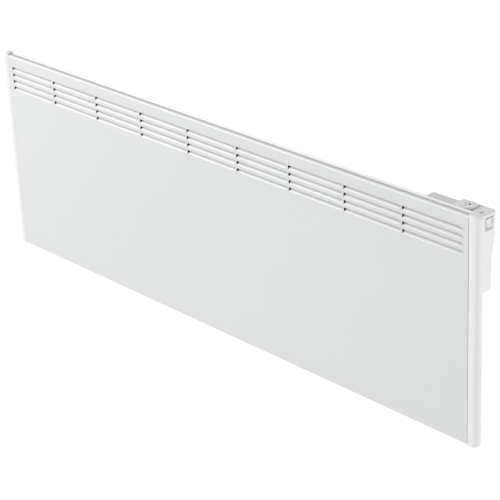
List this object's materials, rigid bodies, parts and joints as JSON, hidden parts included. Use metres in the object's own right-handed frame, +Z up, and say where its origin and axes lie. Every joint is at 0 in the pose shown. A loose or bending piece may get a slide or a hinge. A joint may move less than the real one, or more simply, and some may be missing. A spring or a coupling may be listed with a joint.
{
  "type": "wall-hung electric panel heater",
  "caption": "Low, wide wall-hung electric panel heater: louvred steel front, rear air chamber with finned element, thermostat unit with dial and rocker switch, and wall bracket.",
  "frame": {"origin": "on the wall, at the middle of the upper bracket rail's rear face", "axes": "+X to the right along the heater's front, +Y from the room into the wall, +Z up"},
  "size_m": [1.2, 0.08, 0.4],
  "materials": {
    "white_paint": "white powder coat, satin",
    "white_plastic": "white moulded plastic, fine texture",
    "aluminium": "mill finish",
    "dark_steel": "heat-darkened sheath",
    "ceramic": "unglazed ceramic",
    "zinc_steel": "zinc-plated",
    "black_plastic": "black moulded plastic",
    "grey_plastic": "grey nylon",
    "circuit_board": "green solder mask",
    "lens": "smoked indicator lens",
    "blue_insulation": "blue heat-resistant insulation",
    "brown_insulation": "brown heat-resistant insulation",
    "green_insulation": "green and yellow earth insulation"
  },
  "bodies": {
    "heater": {"front_panel": "white_paint", "back_panel": "white_paint", "end_cap_left": "white_plastic", "end_cap_right": "white_plastic", "heating_element": "aluminium", "element_sheath": "dark_steel", "element_bush_left": "ceramic", "element_bush_right": "ceramic", "element_bracket_left": "zinc_steel", "element_bracket_right": "zinc_steel", "heat_shield": "aluminium", "thermal_cutout": "zinc_steel", "cutout_bracket": "zinc_steel", "lead_grommet": "black_plastic", "hanger_upper_left": "zinc_steel", "hanger_upper_right": "zinc_steel", "hanger_lower_left": "zinc_steel", "hanger_lower_right": "zinc_steel", "connection_box": "white_paint", "connection_cover": "white_paint", "cover_screw_1": "zinc_steel", "cover_screw_2": "zinc_steel", "terminal_block": "grey_plastic", "terminal_screw_1": "zinc_steel", "terminal_screw_2": "zinc_steel", "terminal_screw_3": "zinc_steel", "cable_inlet": "grey_plastic", "inlet_nut": "grey_plastic", "earth_screw": "zinc_steel", "thermostat_housing": "white_plastic", "housing_base": "white_plastic", "control_board": "circuit_board", "relay": "black_plastic", "capacitor": "black_plastic", "potentiometer": "grey_plastic", "indicator_lens": "lens", "temperature_sensor": "black_plastic", "rocker_switch_body": "white_plastic", "lead_neutral": "blue_insulation", "lead_line": "brown_insulation", "lead_return": "brown_insulation", "lead_earth": "green_insulation", "bracket_upright_left": "zinc_steel", "bracket_upright_right": "zinc_steel", "bracket_rail_upper": "zinc_steel", "bracket_rail_lower": "zinc_steel", "latch_rivet_left": "zinc_steel", "latch_rivet_right": "zinc_steel"},
    "dial": {"thermostat_dial": "white_plastic", "dial_shaft": "grey_plastic"},
    "rocker": {"rocker_paddle": "white_plastic"},
    "latch_left": {"bracket_latch_left": "black_plastic"},
    "latch_right": {"bracket_latch_right": "black_plastic"}
  },
  "joints": [
    {"name": "dial_turn", "type": "hinge", "parent": "heater", "child": "dial", "pos_m": [0.54, -0.029, 0.085], "axis": [0, 0, -1], "range_deg": [0, 270]},
    {"name": "rocker_tip", "type": "hinge", "parent": "heater", "child": "rocker", "pos_m": [0.5745, -0.0297, 0.0677], "axis": [0, 1, 0], "range_deg": [0, 20]},
    {"name": "latch_left_lift", "type": "hinge", "parent": "heater", "child": "latch_left", "pos_m": [-0.3275, -0.013, 0.038], "axis": [-1, 0, 0], "range_deg": [0, 70]},
    {"name": "latch_right_lift", "type": "hinge", "parent": "heater", "child": "latch_right", "pos_m": [0.3275, -0.013, 0.038], "axis": [-1, 0, 0], "range_deg": [0, 70]}
  ]
}
